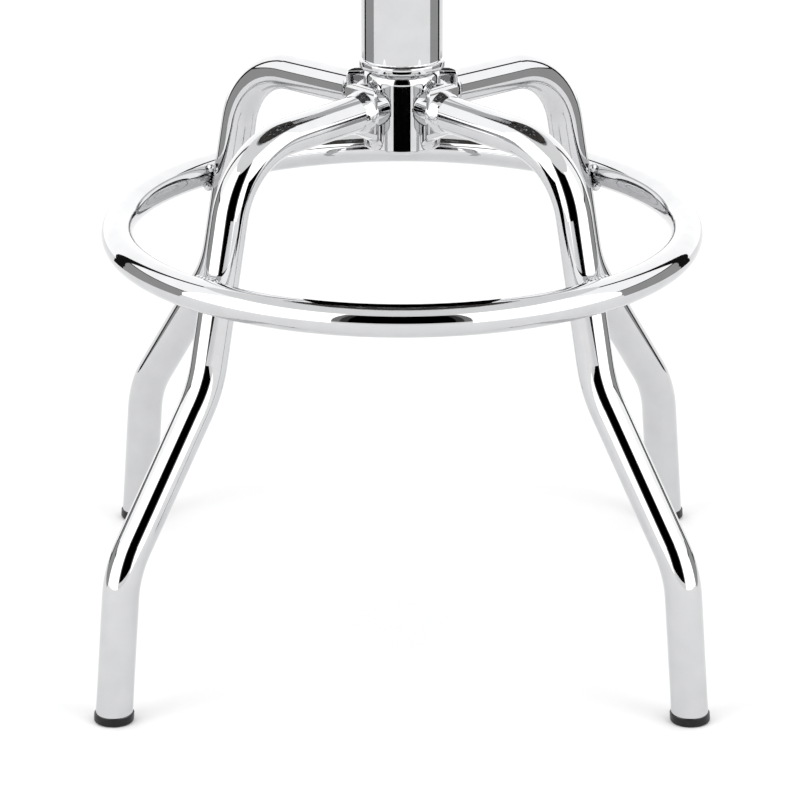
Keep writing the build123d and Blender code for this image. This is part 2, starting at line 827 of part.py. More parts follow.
def make_seat_band():
    inner = cover_radius + socket_gap
    outer = inner + band_thickness
    rib_pitch = band_height / band_rib_count
    with BuildPart() as band:
        with BuildSketch(Plane.XZ):
            with BuildLine():
                Polyline(
                    (outer, band_top),
                    (inner, band_top),
                    (inner, cover_bottom),
                    (board_radius - band_flange, cover_bottom),
                    (board_radius - band_flange, band_bottom),
                    (outer, band_bottom),
                )
                for rib in range(band_rib_count):
                    low = band_bottom + rib_pitch * rib
                    ThreePointArc(
                        (outer, low), (outer + band_rib_height, low + rib_pitch / 2), (outer, low + rib_pitch)
                    )
            make_face()
        revolve(axis=Axis.Z)
        with BuildSketch(Plane.XY.offset(band_bottom)):
            with band_screw_places():
                Circle(band_screw_diameter / 2 + thread_gap)
        extrude(amount=band_thickness, mode=Mode.SUBTRACT)
    save(band, "seat_band")


def make_seat_band_screws():
    with BuildPart() as screws:
        with BuildSketch(Plane.XY.offset(band_bottom)):
            with band_screw_places():
                Circle(band_screw_head_diameter / 2)
        extrude(amount=-band_screw_head_height)
        fillet(screws.faces().filter_by(Axis.Z).group_by(Axis.Z)[0].edges(), band_screw_head_height / 2)
        with BuildSketch(Plane.XY.offset(band_bottom)):
            with band_screw_places():
                Circle(band_screw_diameter / 2)
        extrude(amount=band_screw_length)
    save(screws, "seat_band_screws")


if __name__ == "__main__":
    os.makedirs("parts", exist_ok=True)
    for place, azimuth in leg_places.items():
        make_leg(place, azimuth)
        make_foot_cap(place, azimuth)
    make_footrest_ring()
    make_ring_welds()
    make_hub()
    make_hub_welds()
    make_hub_bolt()
    make_hub_washers()
    make_column_foot()
    make_column_tube()
    make_column_welds()
    make_column_plate()
    make_swivel_lower_plate()
    make_swivel_upper_plate()
    make_swivel_balls()
    make_swivel_ball_cage()
    make_swivel_pivot()
    make_swivel_bolts()
    make_swivel_washers()
    make_swivel_nuts()
    make_seat_screws()
    make_seat_tee_nuts()
    make_seat_board()
    make_seat_foam()
    make_seat_cover()
    make_seat_welt()
    make_seat_band()
    make_seat_band_screws()
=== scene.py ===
import logging
import math
from dataclasses import dataclass
from enum import Enum
from typing import Any, Callable, Union

import bmesh
import bpy
import numpy as np
from mathutils import Matrix, Vector, noise


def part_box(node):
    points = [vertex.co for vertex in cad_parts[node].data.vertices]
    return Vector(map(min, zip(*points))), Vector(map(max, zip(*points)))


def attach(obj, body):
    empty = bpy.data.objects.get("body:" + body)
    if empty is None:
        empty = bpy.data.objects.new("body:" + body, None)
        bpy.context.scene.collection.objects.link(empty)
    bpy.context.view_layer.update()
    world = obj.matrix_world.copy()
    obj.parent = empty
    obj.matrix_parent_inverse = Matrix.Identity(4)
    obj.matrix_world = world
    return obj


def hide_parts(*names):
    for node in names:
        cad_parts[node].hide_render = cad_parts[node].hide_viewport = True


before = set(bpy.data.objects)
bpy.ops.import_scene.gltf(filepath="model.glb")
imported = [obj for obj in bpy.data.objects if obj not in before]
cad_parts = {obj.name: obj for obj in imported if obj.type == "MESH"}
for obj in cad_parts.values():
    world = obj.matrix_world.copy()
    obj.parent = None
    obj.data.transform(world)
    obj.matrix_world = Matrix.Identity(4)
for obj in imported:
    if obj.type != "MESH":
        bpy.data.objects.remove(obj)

log = logging.getLogger("bar_stool")
Piece = bpy.types.Object
Shape = bmesh.types.BMesh
Socket = bpy.types.NodeSocket
Material = bpy.types.Material
Number = Union["Signal", float]
Triple = tuple[float, float, float]
Point = tuple[float, float]
Noise = Union[tuple[float, float], tuple[float, float, Triple]]
Groups = tuple[tuple[Enum, tuple[str, ...]], ...]
EVEN: Triple = (1.0, 1.0, 1.0)
CREASE_ANGLE = math.radians(50.0)


# Shader maths
class Signal:
    """A value that varies over a surface, held as the output socket that carries it."""

    def __init__(self, bench: "ShaderBench", socket: Socket) -> None:
        """Holds one output socket and the bench of its material."""
        self.bench = bench
        self.socket = socket

    def _maths(self, operation: str, first: Number, second: Number) -> "Signal":
        """The result of one Math node that takes two values."""
        settings = {"operation": operation}
        return self.bench.signal("ShaderNodeMath", settings, {0: first, 1: second}, 0)

    def __add__(self, other: Number) -> "Signal":
        """The sum."""
        return self._maths("ADD", self, other)

    def __radd__(self, other: Number) -> "Signal":
        """The sum, with a plain number first."""
        return self._maths("ADD", other, self)

    def __sub__(self, other: Number) -> "Signal":
        """The difference."""
        return self._maths("SUBTRACT", self, other)

    def __rsub__(self, other: Number) -> "Signal":
        """The difference from a plain number."""
        return self._maths("SUBTRACT", other, self)

    def __mul__(self, other: Number) -> "Signal":
        """The product."""
        return self._maths("MULTIPLY", self, other)

    def __rmul__(self, other: Number) -> "Signal":
        """The product, with a plain number first."""
        return self._maths("MULTIPLY", other, self)


class ShaderBench:
    """A material under construction, with a Principled surface."""

    def __init__(self, name: str) -> None:
        """Args:
            name: The material's name.
        """
        self.material = bpy.data.materials.new(name)
        self.material.use_nodes = True
        self.tree = self.material.node_tree
        self.tree.nodes.clear()
        self.surface = self.tree.nodes.new("ShaderNodeBsdfPrincipled")
        output = self.tree.nodes.new("ShaderNodeOutputMaterial")
        self.tree.links.new(self.surface.outputs["BSDF"], output.inputs["Surface"])

    def _feed(self, node: bpy.types.Node, socket: Union[str, int], value: Any) -> None:
        """Sets or links one input socket.

        Args:
            node: The node.
            socket: The input's name or number.
            value: A plain value, a Signal or another node's output.
        """
        if isinstance(value, Signal):
            value = value.socket
        if isinstance(value, Socket):
            self.tree.links.new(value, node.inputs[socket])
        else:
            node.inputs[socket].default_value = value

    def node(self, kind: str, settings: dict[str, Any], inputs: dict[Any, Any]) -> bpy.types.Node:
        """Adds one node.

        Args:
            kind: The node's type.
            settings: Its properties.
            inputs: Values or links of its sockets.

        Returns:
            The node.
        """
        node = self.tree.nodes.new(kind)
        for key, value in settings.items():
            setattr(node, key, value)
        for socket, value in inputs.items():
            self._feed(node, socket, value)
        return node

    def signal(
        self, kind: str, settings: dict[str, Any], inputs: dict[Any, Any], output: Any
    ) -> Signal:
        """Adds one node and reads the output with the given name or number."""
        return Signal(self, self.node(kind, settings, inputs).outputs[output])

    def place(self, stretch: Triple = EVEN) -> Socket:
        """The point on the surface in the stool's frame, in metres, stretched along each axis."""
        inputs = {0: self.node("ShaderNodeTexCoord", {}, {}).outputs["Object"], 1: stretch}
        return self.node("ShaderNodeVectorMath", {"operation": "MULTIPLY"}, inputs).outputs[0]

    def grain(self, scale: float, detail: float, stretch: Triple = EVEN) -> Signal:
        """Cloudy noise from 0 to 1: clouds per metre, finer layers and stretch along each axis."""
        inputs = {"Vector": self.place(stretch), "Scale": scale, "Detail": detail}
        return self.signal("ShaderNodeTexNoise", {}, inputs, "Fac")

    def cells(self, scale: float, feature: str) -> Signal:
        """The distance that a feature measures in a pattern of so many cells per metre."""
        inputs = {"Vector": self.place(), "Scale": scale}
        return self.signal("ShaderNodeTexVoronoi", {"feature": feature}, inputs, "Distance")

    def ramp(self, value: Signal, stops: list[Point]) -> Signal:
        """Passes a value through a ramp.

        Args:
            value: The value.
            stops: Position and grey level of each stop, at least two.

        Returns:
            The ramp's level.
        """
        node = self.node("ShaderNodeValToRGB", {}, {"Fac": value})
        elements = node.color_ramp.elements
        while len(elements) < len(stops):
            elements.new(1.0)
        for element, (position, level) in zip(elements, stops):
            element.position = position
            element.color = rgba(level, level, level)
        return Signal(self, node.outputs["Color"])

    def blend(self, share: Number, first: Any, second: Any) -> Socket:
        """A mix of two colours, from the first at share 0 to the second at share 1."""
        inputs = {0: share, 6: first, 7: second}
        return self.node("ShaderNodeMix", {"data_type": "RGBA"}, inputs).outputs[2]

    def relief(self, height: Signal, depth: float, strength: float) -> Socket:
        """A normal bumped by a height from 0 to 1, with its depth in metres and its strength."""
        inputs = {"Height": height, "Distance": depth, "Strength": strength}
        return self.node("ShaderNodeBump", {}, inputs).outputs["Normal"]

    def dress(self, **inputs: Any) -> Material:
        """Sets the Principled surface's sockets, with underscores for spaces in their names.

        Args:
            inputs: Values or links of its sockets.

        Returns:
            The finished material.
        """
        for name, value in inputs.items():
            self._feed(self.surface, name.replace("_", " "), value)
        return self.material


def rgba(red: float, green: float, blue: float) -> tuple[float, float, float, float]:
    """An opaque colour."""
    return (red, green, blue, 1.0)


# Finishes
@dataclass(frozen=True)
class Finish:
    """A surface with mottled colour, a fine relief and uneven roughness.

    A noise is its scale per metre, its detail and its stretch along each axis. The edges are
    where the mottles begin and where they are full. The roughness is its least and its spread,
    and the relief is its depth and its strength.
    """

    name: str
    tint: Triple
    mottle_tint: Triple
    mottle: Noise
    edges: Point
    roughness: Point
    relief: Point
    fine: Noise = (900.0, 2.0)
    mottle_share: float = 1.0
    metallic: float = 0.0
    gloss: float = 0.5

    def _detail(self, bench: ShaderBench, mottle: Signal) -> tuple[Signal, Signal]:
        """What makes the roughness uneven, and the relief's height."""
        fine = bench.grain(*self.fine)
        return fine, fine

    def material(self) -> Material:
        """Makes the finish.

        Returns:
            The material.
        """
        bench = ShaderBench(self.name)
        mottle = bench.grain(*self.mottle)
        share = bench.ramp(mottle, list(zip(self.edges, (0.0, 1.0)))) * self.mottle_share
        uneven, height = self._detail(bench, mottle)
        least, spread = self.roughness
        return bench.dress(
            Base_Color=bench.blend(share, rgba(*self.tint), rgba(*self.mottle_tint)),
            Metallic=self.metallic,
            Specular_IOR_Level=self.gloss,
            Roughness=least + spread * uneven,
            Normal=bench.relief(height, *self.relief),
        )


@dataclass(frozen=True)
class ChromeFinish(Finish):
    """Polished chrome plate: nearly a mirror, with faint clouds, hairlines and soft waves."""

    name: str = "chrome_plate"
    tint: Triple = (0.61, 0.613, 0.62)
    mottle_tint: Triple = (0.5734, 0.57622, 0.5828)
    mottle: Noise = (60.0, 4.0)
    edges: Point = (0.35, 0.75)
    roughness: Point = (0.022, 0.03)
    relief: Point = (0.00002, 0.35)
    fine: Noise = (900.0, 2.0, (1.0, 1.0, 0.08))
    waves: Noise = (30.0, 2.0)
    metallic: float = 1.0

    def _detail(self, bench: ShaderBench, mottle: Signal) -> tuple[Signal, Signal]:
        """Clouded hairlines, and soft waves."""
        return mottle * bench.grain(*self.fine), bench.grain(*self.waves)


@dataclass(frozen=True)
class WeldFinish(Finish):
    """Chromed weld bead: the plate over fine ripples."""

    name: str = "chrome_weld"
    tint: Triple = (0.66, 0.665, 0.675)
    mottle_tint: Triple = (0.5808, 0.5852, 0.594)
    mottle: Noise = (150.0, 3.0)
    edges: Point = (0.0, 1.0)
    roughness: Point = (0.05, 0.08)
    relief: Point = (0.00035, 0.5)
    ripples_per_metre: float = 420.0
    mottle_relief: float = 0.4
    metallic: float = 1.0

    def _detail(self, bench: ShaderBench, mottle: Signal) -> tuple[Signal, Signal]:
        """The mottles, and ripples with a little of the mottles in them."""
        ripples = bench.cells(self.ripples_per_metre, "SMOOTH_F1")
        return mottle, ripples + self.mottle_relief * mottle


@dataclass(frozen=True)
class ZincFinish(Finish):
    """Bright zinc on bolts, nuts, washers and the pivot: clouded grey with drawn lines."""

    name: str = "zinc_plate"
    tint: Triple = (0.62, 0.63, 0.64)
    mottle_tint: Triple = (0.42, 0.43, 0.45)
    mottle: Noise = (260.0, 5.0)
    edges: Point = (0.3, 0.75)
    roughness: Point = (0.24, 0.14)
    relief: Point = (0.00003, 0.3)
    fine: Noise = (3200.0, 2.0, (1.0, 1.0, 0.1))
    metallic: float = 1.0

    def _detail(self, bench: ShaderBench, mottle: Signal) -> tuple[Signal, Signal]:
        """Clouded lines, and the lines."""
        lines = bench.grain(*self.fine)
        return lines * mottle, lines


@dataclass(frozen=True)
class StainedPlywoodFinish(Finish):
    """Plywood stained black: long grain lines with a little brown in them."""

    name: str = "plywood"
    tint: Triple = (0.022, 0.019, 0.017)
    mottle_tint: Triple = (0.07, 0.055, 0.042)
    mottle: Noise = (240.0, 6.0, (0.06, 1.0, 1.0))
    edges: Point = (0.42, 0.7)
    roughness: Point = (0.55, 0.2)
    relief: Point = (0.00018, 0.4)
    fine: Noise = (1800.0, 2.0, (0.08, 1.0, 1.0))

    def _detail(self, bench: ShaderBench, mottle: Signal) -> tuple[Signal, Signal]:
        """The pores, and the pores with the grain lines."""
        pores = bench.grain(*self.fine)
        return pores, mottle + pores


@dataclass(frozen=True)
class VinylFinish(Finish):
    """Black upholstery vinyl: pebble grain with pores, worn patches and a soft sheen."""

    name: str = "vinyl"
    tint: Triple = (0.016, 0.016, 0.018)
    mottle_tint: Triple = (0.034, 0.034, 0.037)
    mottle: Noise = (26.0, 4.0)
    edges: Point = (0.4, 0.8)
    roughness: Point = (0.52, 1.0)
    relief: Point = (0.00022, 0.55)
    fine: Noise = (5200.0, 2.0)
    pebbles_per_metre: float = 900.0
    pebble_stops: tuple[Point, ...] = ((0.0, 0.0), (0.16, 0.75), (0.5, 1.0))
    pebble_polish: float = 0.16
    wear_spread: float = 0.1
    pore_relief: float = 0.18

    def _detail(self, bench: ShaderBench, mottle: Signal) -> tuple[Signal, Signal]:
        """Worn patches less the polished pebbles, and the pebbles with their pores.

        Args:
            bench: The material's bench.
            mottle: The noise that the worn patches follow.

        Returns:
            Both signals.
        """
        gaps = bench.cells(self.pebbles_per_metre, "DISTANCE_TO_EDGE")
        pebbles = bench.ramp(gaps, list(self.pebble_stops))
        uneven = self.wear_spread * mottle - self.pebble_polish * pebbles
        return uneven, pebbles + self.pore_relief * bench.grain(*self.fine)


class Plate(Enum):
    """The three ways that chrome plate looks on this stool."""

    DRAWN_TUBE = ChromeFinish()
    CASTING = ChromeFinish(
        name="chrome_casting", mottle=(90.0, 4.0), waves=(45.0, 2.0),
        roughness=(0.03, 0.05), relief=(0.00006, 0.35),
    )
    BEAD = WeldFinish()


class Trim(Enum):
    """The finishes of everything that isn't chromed.

    The caps' plastic has spark grain and paler scuffs, and the plates' powder coat has fine
    orange peel and rubbed patches.
    """

    CAP_PLASTIC = Finish(
        name="black_plastic", tint=(0.004, 0.004, 0.0045), mottle_tint=(0.018, 0.018, 0.019),
        mottle=(220.0, 5.0), edges=(0.58, 0.8), mottle_share=0.6, roughness=(0.3, 0.14),
        relief=(0.00008, 0.4), fine=(2600.0, 2.0), gloss=0.3,
    )
    PLATE_PAINT = Finish(
        name="black_paint", tint=(0.017, 0.017, 0.018), mottle_tint=(0.045, 0.045, 0.047),
        mottle=(60.0, 6.0), edges=(0.55, 0.78), roughness=(0.36, 0.12),
        relief=(0.00012, 0.35),
    )
    ZINC = ZincFinish()
    BEARING_STEEL = ZincFinish(
        name="bearing_steel", tint=(0.7, 0.7, 0.71), mottle_tint=(0.6, 0.6, 0.62),
        fine=(5200.0, 2.0, (1.0, 1.0, 0.1)), roughness=(0.1, 0.14),
    )
    PLYWOOD = StainedPlywoodFinish()
    VINYL = VinylFinish()


class FinishRack:
    """Makes each finish's material once and puts it on pieces."""

    def __init__(self) -> None:
        """Starts with no material made."""
        self.made: dict[Enum, Material] = {}

    def put(self, piece: Piece, finish: Enum) -> None:
        """Gives a piece one finish in every material slot.

        Args:
            piece: The piece or CAD node.
            finish: The finish.
        """
        if finish not in self.made:
            self.made[finish] = finish.value.material()
        for place in piece.material_slots:
            place.material = self.made[finish]
        if not piece.material_slots:
            piece.data.materials.append(self.made[finish])

    def dress(self, names: tuple[str, ...], finish: Enum) -> None:
        """Puts a finish on CAD nodes.

        Args:
            names: The nodes' names.
            finish: The finish.
        """
        for name in names:
            self.put(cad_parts[name], finish)
        log.info("dressed %s with %s", ", ".join(names), finish.value.name)

    def mount(self, piece: Piece, finish: Enum, body: str) -> None:
        """Dresses a piece that is built here, and ties it to its body and material slot.

        Args:
            piece: The piece.
            finish: The finish.
            body: The body that it moves with.
        """
        self.put(piece, finish)
        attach(piece, body)
        log.info("built %s with %d faces", piece.name, len(piece.data.polygons))


# Mesh helpers
def linked(name: str, data: bpy.types.ID) -> Piece:
    """Makes an object and links it to the scene.

    Args:
        name: The object's name.
        data: The mesh, light or camera that it holds.

    Returns:
        The object.
    """
    piece = bpy.data.objects.new(name, data)
    bpy.context.scene.collection.objects.link(piece)
    return piece


def mesh_piece(name: str, shape: Shape) -> Piece:
    """Turns a finished shape into a smooth-shaded object with sharp creases.

    Args:
        name: The object's name.
        shape: The shape, which is freed.

    Returns:
        The object, linked to the scene.
    """
    bmesh.ops.recalc_face_normals(shape, faces=shape.faces)
    for face in shape.faces:
        face.smooth = True
    for edge in shape.edges:
        edge.smooth = len(edge.link_faces) < 2 or edge.calc_face_angle(0.0) < CREASE_ANGLE
    mesh = bpy.data.meshes.new(name)
    shape.to_mesh(mesh)
    shape.free()
    return linked(name, mesh)


def arc(start: Point, end: Point, bow: float, steps: int) -> list[Point]:
    """Points of an arc between two points of a section, without its end point.

    Args:
        start: Radius and height of the first point.
        end: Radius and height of the last point.
        bow: How far the arc's middle stands off its chord, to the right of the way it runs. It
            is less than half the chord.
        steps: The number of stretches.

    Returns:
        The points.
    """
    chord = Vector(end) - Vector(start)
    side = Vector((chord.y, -chord.x)).normalized()
    half = chord.length / 2
    radius = (half * half + bow * bow) / (2 * bow)
    reach = math.asin(min(1.0, half / abs(radius)))
    middle = Vector(start) + chord / 2 + side * (bow - radius)
    points = []
    for step in range(steps):
        angle = reach * (2 * step / steps - 1)
        along = chord.normalized() * math.sin(angle) * abs(radius)
        points.append(tuple(middle + along + side * math.cos(angle) * radius))
    return points


def bridge(shape: Shape, rows: list[Any], round_row: bool, closed: bool) -> None:
    """Joins rows of vertices with faces.

    Args:
        shape: The mesh that holds them.
        rows: The rows, all of one length.
        round_row: Whether a row's last vertex joins its first.
        closed: Whether the last row joins the first.
    """
    count = len(rows[0])
    for low, high in list(zip(rows, rows[1:])) + ([(rows[-1], rows[0])] if closed else []):
        for step in range(count if round_row else count - 1):
            after = (step + 1) % count
            corners = dict.fromkeys((low[step], low[after], high[after], high[step]))
            shape.faces.new(list(corners))


def turned(outline: list[Point], steps: int, closed: bool) -> Shape:
    """Turns a section round the Z axis.

    Args:
        outline: Radius and height of its points. A point on the axis becomes a single vertex.
        steps: The number of stretches round the axis.
        closed: Whether the last point joins the first.

    Returns:
        The turned shape.
    """
    shape = bmesh.new()
    turns = [math.tau * step / steps for step in range(steps)]
    rows = []
    for radius, height in outline:
        if radius <= 0.0:
            rows.append([shape.verts.new((0.0, 0.0, height))] * steps)
        else:
            ring = ((radius * math.cos(turn), radius * math.sin(turn), height) for turn in turns)
            rows.append([shape.verts.new(point) for point in ring])
    bridge(shape, rows, True, closed)
    return shape


# Hub casting, drawn as a distance field so that every edge and root is evenly rounded. The
# distances are below zero inside a shape.
Field = Callable[[np.ndarray], np.ndarray]


def rounded_meet(first: np.ndarray, second: np.ndarray, radius: float) -> np.ndarray:
    """Distance to what two shapes share, with its edge rounded by a radius."""
    corner = np.hypot(np.maximum(first + radius, 0.0), np.maximum(second + radius, 0.0))
    return np.minimum(-radius, np.maximum(first, second)) + corner


def filleted_union(first: np.ndarray, second: np.ndarray, radius: float) -> np.ndarray:
    """Distance to two shapes together, with a fillet of a radius where they meet."""
    return -rounded_meet(-first, -second, radius)


def field_gradient(field: Field, points: np.ndarray, step: float = 1e-6) -> np.ndarray:
    """Slope of a distance field.

    Args:
        field: The field.
        points: Where it is measured, one point per row.
        step: Half the distance between two readings.

    Returns:
        The slope as one vector per point.
    """
    columns = []
    for axis in range(3):
        shift = np.zeros(3)
        shift[axis] = step
        columns.append((field(points + shift) - field(points - shift)) / (2 * step))
    return np.stack(columns, -1)


def field_mesh(
    name: str, field: Field, low: Vector, high: Vector, cell: float, rounds: int = 8
) -> Piece:
    """Meshes the surface where a distance field is zero, with a vertex in each cell it crosses.

    Args:
        name: The object's name.
        field: The field.
        low: One corner of the box that holds the surface.
        high: The opposite corner.
        cell: The side of a cell.
        rounds: How often each vertex is moved on to the surface.

    Returns:
        The object, with normals taken from the field.
    """
    axes = [np.arange(start - 2 * cell, stop + 3 * cell, cell) for start, stop in zip(low, high)]
    grid = np.stack(np.meshgrid(*axes, indexing="ij"), -1)
    inside = field(grid) < 0.0
    cells = [size - 1 for size in inside.shape]
    filled = np.zeros(cells, int)
    corner_starts = list(np.ndindex(2, 2, 2))
    for corner in corner_starts:
        span = tuple(slice(start, start + size) for start, size in zip(corner, cells))
        filled += inside[span]
    crossed = (filled > 0) & (filled < len(corner_starts))
    order = np.full(cells, -1)
    order[crossed] = np.arange(crossed.sum())
    points = grid[:-1, :-1, :-1][crossed] + cell / 2
    least_slope = 0.25
    for _ in range(rounds):
        slope = field_gradient(field, points)
        steepness = np.maximum((slope**2).sum(-1), least_slope)
        points = points - (field(points) / steepness)[:, None] * slope
    quads = []
    for axis in range(3):
        near, around = np.moveaxis(inside, axis, 0), np.moveaxis(order, axis, 0)
        changing = near[:-1, 1:-1, 1:-1] != near[1:, 1:-1, 1:-1]
        ring = [around[:, :-1, :-1], around[:, 1:, :-1], around[:, 1:, 1:], around[:, :-1, 1:]]
        quads.append(np.stack(ring, -1)[changing])
    quads = np.concatenate(quads)
    corners = points[quads]
    facing = np.cross(corners[:, 2] - corners[:, 0], corners[:, 3] - corners[:, 1])
    inward = (facing * field_gradient(field, corners.mean(1))).sum(-1) < 0.0
    quads[inward] = quads[inward, ::-1]
    mesh = bpy.data.meshes.new(name)
    mesh.from_pydata(points.tolist(), [], quads.tolist())
    mesh.shade_smooth()
    slope = field_gradient(field, points)
    slope /= np.linalg.norm(slope, axis=-1)[:, None]
    mesh.normals_split_custom_set_from_vertices(slope.tolist())
    return linked(name, mesh)


@dataclass
class HubCasting:
    """The hub: a barrel with four arms, flat on their sides, that hold the legs.

    Its bottom and top are read from the frame.
    """

    body: str = "base"
    bottom: float = 0.0
    top: float = 0.0
    barrel_radius: float = 0.0266
    shoulder_radius: float = 0.008
    foot_drop: float = 0.003
    top_drop: float = 0.0055
    foot_radius: float = 0.0025
    root_height: float = 0.3832
    leg_fall: float = 0.0055
    leg_run: float = 0.1553
    arm_length: float = 0.040
    arm_half_width: float = 0.0165
    arm_rise: float = 0.018
    arm_drop: float = 0.0165
    arm_root_drop: float = 0.0265
    arm_edge: float = 0.0045
    arm_rim: float = 0.0024
    arm_foot_edge: float = 0.0027
    root_fillet: float = 0.004
    leg_radius: float = 0.0127
    socket_gap: float = 0.0001
    socket_start: float = 0.020
    bore_radius: float = 0.0141
    bore_floor: float = 0.379
    recess_radius: float = 0.016
    recess_depth: float = 0.017
    bolt_hole_radius: float = 0.0066
    cell: float = 0.0008
    quick_cell: float = 0.0014

    def _field(self, points: np.ndarray) -> np.ndarray:
        """Distance to the casting's surface.

        Args:
            points: Where it is measured, with X, Y and Z along the last axis.

        Returns:
            The distances.
        """
        x, y, z = np.abs(points[..., 0]), np.abs(points[..., 1]), points[..., 2]
        reach = np.hypot(x, y)
        out, side = (x + y) / math.sqrt(2), (x - y) / math.sqrt(2)
        tilt = math.atan2(self.leg_fall, self.leg_run)
        along = out * math.cos(tilt) - (z - self.root_height) * math.sin(tilt)
        above = (z - self.root_height) * math.cos(tilt) + out * math.sin(tilt)
        barrel = rounded_meet(reach - self.barrel_radius, z - self.top, self.shoulder_radius)
        barrel = rounded_meet(barrel, self.bottom - z, self.foot_radius)
        half_slot = (self.arm_length - self.arm_half_width) / math.sqrt(2)
        rake = (self.arm_root_drop - self.arm_drop) / (self.arm_length - self.barrel_radius)
        under = -above - self.arm_root_drop + (along - self.barrel_radius) * rake
        arm = rounded_meet(half_slot - np.minimum(x, y), along - self.arm_length, self.arm_rim)
        arm = rounded_meet(arm, above - self.arm_rise, self.arm_edge)
        arm = rounded_meet(arm, under / math.hypot(1.0, rake), self.arm_foot_edge)
        casting = filleted_union(barrel, arm, self.root_fillet)
        socket = np.hypot(side, above) - self.leg_radius - self.socket_gap
        socket = np.maximum(socket, self.socket_start - along)
        bore = np.maximum(reach - self.bore_radius, self.bore_floor - z)
        recess = np.maximum(reach - self.recess_radius, z - self.bottom - self.recess_depth)
        for hollow in (socket, bore, recess, reach - self.bolt_hole_radius):
            casting = np.maximum(casting, -hollow)
        return casting

    def build(self, rack: FinishRack) -> None:
        """Builds the casting in the place of the plainer CAD hub.

        Args:
            rack: The finishes.
        """
        cad_low, cad_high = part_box("hub")
        self.bottom, self.top = cad_low.z - self.foot_drop, cad_high.z - self.top_drop
        reach = (self.arm_length + self.arm_half_width) / math.sqrt(2)
        low, high = Vector((-reach, -reach, self.bottom)), Vector((reach, reach, self.top))
        cell = self.cell
        piece = field_mesh("hub_casting", self._field, low, high, cell)
        rack.mount(piece, Plate.CASTING, self.body)
        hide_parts("hub")


@dataclass
class ColumnFoot:
    """The column's turned foot, with spigot, flange, sleeve and plug, and the tube's beads."""

    body: str = "base"
    hub_top: float = 0.4075
    spigot_radius: float = 0.014
    spigot_length: float = 0.0275
    thread_radius: float = 0.00605
    thread_depth: float = 0.029
    flange_radius: float = 0.030
    flange_thickness: float = 0.0054
    edge: float = 0.001
    edge_steps: int = 4
    tube_radius: float = 0.0282
    tube_end: float = 0.4176
    tube_top: float = 0.6456
    plug_radius: float = 0.0261
    plug_bore: float = 0.0211
    plug_height: float = 0.015
    bead_gap: float = 0.00002
    foot_bead: float = 0.0014
    plate_bead: float = 0.004
    bead_bow_share: float = 0.12
    steps: int = 96

    def _outline(self) -> list[Point]:
        """The foot's section.

        Returns:
            Its points from the thread's end to the middle of the plug's floor.
        """
        low, flange_top = self.hub_top - self.spigot_length, self.hub_top + self.flange_thickness
        thread_end, plug_top = low + self.thread_depth, self.tube_end + self.plug_height
        bow = self.edge * (1.0 - math.sqrt(0.5))
        outer, inner = self.flange_radius, self.flange_radius - self.edge
        lower_edge = (inner, self.hub_top), (outer, self.hub_top + self.edge)
        upper_edge = (outer, flange_top - self.edge), (inner, flange_top)
        return [
            (0.0, thread_end), (self.thread_radius, thread_end), (self.thread_radius, low),
            (self.spigot_radius, low), (self.spigot_radius, self.hub_top),
            *arc(*lower_edge, bow, self.edge_steps),
            *arc(*upper_edge, bow, self.edge_steps), (inner, flange_top),
            (self.tube_radius, flange_top), (self.tube_radius, self.tube_end),
            (self.plug_radius, self.tube_end), (self.plug_radius, plug_top),
            (self.plug_bore, plug_top), (self.plug_bore, self.tube_end), (0.0, self.tube_end),
        ]

    def _bead(self, name: str, level: float, size: float) -> Piece:
        """One bead round the tube.

        Args:
            name: The piece's name.
            level: Height of the face that the bead lies on.
            size: Its width, and its height upwards, or downwards below zero.

        Returns:
            The piece.
        """
        inner = self.tube_radius + self.bead_gap
        outer = inner + abs(size)
        tip = (inner, level + size)
        slope = arc((outer, level), tip, -size * self.bead_bow_share, self.edge_steps)
        return mesh_piece(name, turned([(inner, level), *slope, tip], self.steps, True))

    def build(self, rack: FinishRack) -> None:
        """Builds the foot and the two beads in the place of the CAD ones.

        Args:
            rack: The finishes.
        """
        foot = mesh_piece("column_foot_turned", turned(self._outline(), self.steps, False))
        foot_level = self.hub_top + self.flange_thickness + self.bead_gap
        foot_bead = self._bead("column_foot_bead", foot_level, self.foot_bead)
        plate_level = self.tube_top - self.bead_gap
        plate_bead = self._bead("column_plate_bead", plate_level, -self.plate_bead)
        rack.mount(foot, Plate.DRAWN_TUBE, self.body)
        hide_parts("column_foot")
        rack.mount(foot_bead, Plate.BEAD, self.body)
        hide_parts("column_welds")
        rack.mount(plate_bead, Plate.BEAD, self.body)


@dataclass
class DressedNodes:
    """CAD nodes whose shapes are kept, in groups that share a finish."""

    groups: Groups

    def dress(self, rack: FinishRack) -> None:
        """Puts the finishes on the nodes.

        Args:
            rack: The finishes.
        """
        for finish, names in self.groups:
            rack.dress(names, finish)


@dataclass
class Base(DressedNodes):
    """The chromed base: legs, caps, ring, column and what holds them."""

    groups: Groups = (
        (Plate.DRAWN_TUBE, (
            "leg_front_left", "leg_front_right", "leg_rear_left", "leg_rear_right",
            "footrest_ring", "column_tube",
        )),
        (Plate.BEAD, ("hub_welds", "ring_welds")),
        (Trim.CAP_PLASTIC, (
            "foot_cap_front_left", "foot_cap_front_right", "foot_cap_rear_left",
            "foot_cap_rear_right",
        )),
        (Trim.ZINC, ("hub_bolt", "hub_washer", "hub_lock_washer")),
    )


@dataclass
class Swivel(DressedNodes):
    """The plates, bearing and fasteners between column and seat."""

    groups: Groups = (
        (Trim.PLATE_PAINT, ("column_plate", "swivel_lower_plate", "swivel_upper_plate")),
        (Trim.ZINC, (
            "swivel_pivot", "swivel_ball_cage", "swivel_bolts", "swivel_washers", "swivel_nuts",
            "seat_screws",
        )),
        (Trim.BEARING_STEEL, ("swivel_balls",)),
    )


